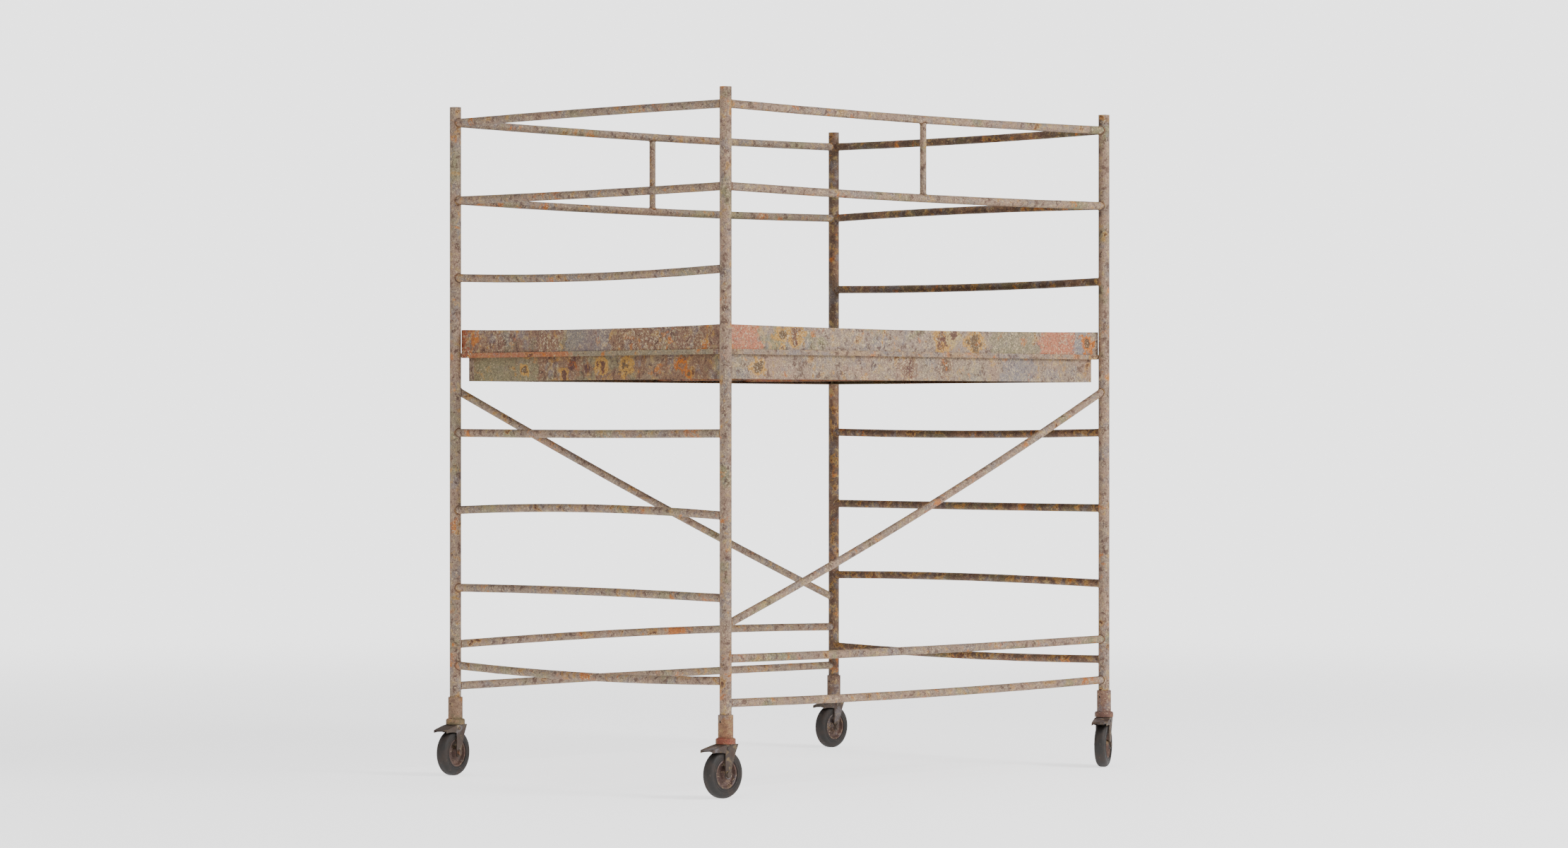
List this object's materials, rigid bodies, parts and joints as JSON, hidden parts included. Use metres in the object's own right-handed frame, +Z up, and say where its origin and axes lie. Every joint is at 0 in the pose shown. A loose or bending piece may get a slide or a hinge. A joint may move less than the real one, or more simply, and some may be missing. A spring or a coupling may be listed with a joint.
{
  "type": "baker scaffold",
  "caption": "Rolling welded-tube scaffold tower with ladder ends, braces, guard rails, a lift-off steel platform with toe boards, and swivel casters with brake pedals.",
  "frame": {"origin": "on the floor, at the centre of the overall bounding box in plan; the posts' own centre is at (15.4, 20.1) mm because all four casters trail towards -X", "axes": "+Z up, +X along the seven-foot bay towards the right end, +Y across the five-foot width towards the rear"},
  "size_m": [2.314, 1.6391, 2.629],
  "materials": {
    "tower_paint": "worn paint with rust",
    "toe_board_paint": "worn paint with rust",
    "beam_paint": "worn paint with rust",
    "edge_paint": "worn paint with rust",
    "plank_steel": "scuffed",
    "saddle_steel": "worn paint with rust",
    "stud_steel": "rusty",
    "fastener_steel": "dulled",
    "socket_steel": "rusty",
    "caster_steel": "rusty",
    "wheel_iron": "rusty",
    "tyre_rubber": "dusty"
  },
  "bodies": {
    "tower": {"post_front_left": "tower_paint", "post_front_right": "tower_paint", "post_rear_left": "tower_paint", "post_rear_right": "tower_paint", "left_end_rungs": "tower_paint", "right_end_rungs": "tower_paint", "front_top_rail": "tower_paint", "front_mid_rail": "tower_paint", "front_base_rail_upper": "tower_paint", "front_base_rail_lower": "tower_paint", "front_rail_strut": "tower_paint", "front_brace": "tower_paint", "rear_top_rail": "tower_paint", "rear_mid_rail": "tower_paint", "rear_base_rail_upper": "tower_paint", "rear_base_rail_lower": "tower_paint", "rear_rail_strut": "tower_paint", "rear_brace": "tower_paint", "deck_studs": "stud_steel", "caster_lock_pins": "fastener_steel", "caster_kingpins": "fastener_steel", "swivel_races": "fastener_steel", "caster_socket_front_left": "socket_steel", "caster_socket_front_right": "socket_steel", "caster_socket_rear_left": "socket_steel", "caster_socket_rear_right": "socket_steel"},
    "platform": {"deck_edge_sides": "edge_paint", "deck_edge_ends": "edge_paint", "deck_corner_saddles": "saddle_steel", "toe_board_front": "toe_board_paint", "toe_board_rear": "toe_board_paint", "toe_board_left": "toe_board_paint", "toe_board_right": "toe_board_paint", "deck_beam_front": "beam_paint", "deck_beam_rear": "beam_paint", "deck_beam_left": "beam_paint", "deck_beam_right": "beam_paint", "deck_joists": "beam_paint", "deck_planks": "plank_steel", "toe_board_bolts": "fastener_steel"},
    "swivel_front_left": {"caster_fork_front_left": "caster_steel", "caster_hardware_front_left": "fastener_steel"},
    "wheel_front_left": {"wheel_rim_front_left": "wheel_iron", "tyre_front_left": "tyre_rubber"},
    "pedal_front_left": {"brake_pedal_front_left": "caster_steel"},
    "swivel_front_right": {"caster_fork_front_right": "caster_steel", "caster_hardware_front_right": "fastener_steel"},
    "wheel_front_right": {"wheel_rim_front_right": "wheel_iron", "tyre_front_right": "tyre_rubber"},
    "pedal_front_right": {"brake_pedal_front_right": "caster_steel"},
    "swivel_rear_left": {"caster_fork_rear_left": "caster_steel", "caster_hardware_rear_left": "fastener_steel"},
    "wheel_rear_left": {"wheel_rim_rear_left": "wheel_iron", "tyre_rear_left": "tyre_rubber"},
    "pedal_rear_left": {"brake_pedal_rear_left": "caster_steel"},
    "swivel_rear_right": {"caster_fork_rear_right": "caster_steel", "caster_hardware_rear_right": "fastener_steel"},
    "wheel_rear_right": {"wheel_rim_rear_right": "wheel_iron", "tyre_rear_right": "tyre_rubber"},
    "pedal_rear_right": {"brake_pedal_rear_right": "caster_steel"}
  },
  "joints": [
    {"name": "platform_lift", "type": "slide", "parent": "tower", "child": "platform", "axis": [0, 0, 1], "range_m": [0, 0.15]},
    {"name": "swivel_turn_front_left", "type": "hinge", "parent": "tower", "child": "swivel_front_left", "pos_m": [-1.0514, -0.7419, 0.2], "axis": [0, 0, 1], "continuous": true},
    {"name": "wheel_spin_front_left", "type": "hinge", "parent": "swivel_front_left", "child": "wheel_front_left", "pos_m": [-1.0669, -0.74222, 0.09], "axis": [0.0209, -0.9998, 0], "continuous": true},
    {"name": "pedal_press_front_left", "type": "hinge", "parent": "swivel_front_left", "child": "pedal_front_left", "pos_m": [-1.0684, -0.74226, 0.186], "axis": [0.0209, -0.9998, 0], "range_deg": [0, 4.8]},
    {"name": "swivel_turn_front_right", "type": "hinge", "parent": "tower", "child": "swivel_front_right", "pos_m": [1.0822, -0.7419, 0.2], "axis": [0, 0, 1], "continuous": true},
    {"name": "wheel_spin_front_right", "type": "hinge", "parent": "swivel_front_right", "child": "wheel_front_right", "pos_m": [1.06875, -0.7496, 0.09], "axis": [0.497, -0.8678, 0], "continuous": true},
    {"name": "pedal_press_front_right", "type": "hinge", "parent": "swivel_front_right", "child": "pedal_front_right", "pos_m": [1.06745, -0.75035, 0.186], "axis": [0.497, -0.8678, 0], "range_deg": [0, 4.8]},
    {"name": "swivel_turn_rear_left", "type": "hinge", "parent": "tower", "child": "swivel_rear_left", "pos_m": [-1.0514, 0.7821, 0.2], "axis": [0, 0, 1], "continuous": true},
    {"name": "wheel_spin_rear_left", "type": "hinge", "parent": "swivel_rear_left", "child": "wheel_rear_left", "pos_m": [-1.06649, 0.77856, 0.09], "axis": [0.2284, -0.9736, 0], "continuous": true},
    {"name": "pedal_press_rear_left", "type": "hinge", "parent": "swivel_rear_left", "child": "pedal_rear_left", "pos_m": [-1.06795, 0.77822, 0.186], "axis": [0.2284, -0.9736, 0], "range_deg": [0, 4.8]},
    {"name": "swivel_turn_rear_right", "type": "hinge", "parent": "tower", "child": "swivel_rear_right", "pos_m": [1.0822, 0.7821, 0.2], "axis": [0, 0, 1], "continuous": true},
    {"name": "wheel_spin_rear_right", "type": "hinge", "parent": "swivel_rear_right", "child": "wheel_rear_right", "pos_m": [1.06674, 0.78094, 0.09], "axis": [0.075, -0.9972, 0], "continuous": true},
    {"name": "pedal_press_rear_right", "type": "hinge", "parent": "swivel_rear_right", "child": "pedal_rear_right", "pos_m": [1.06525, 0.78083, 0.186], "axis": [0.075, -0.9972, 0], "range_deg": [0, 4.8]}
  ]
}
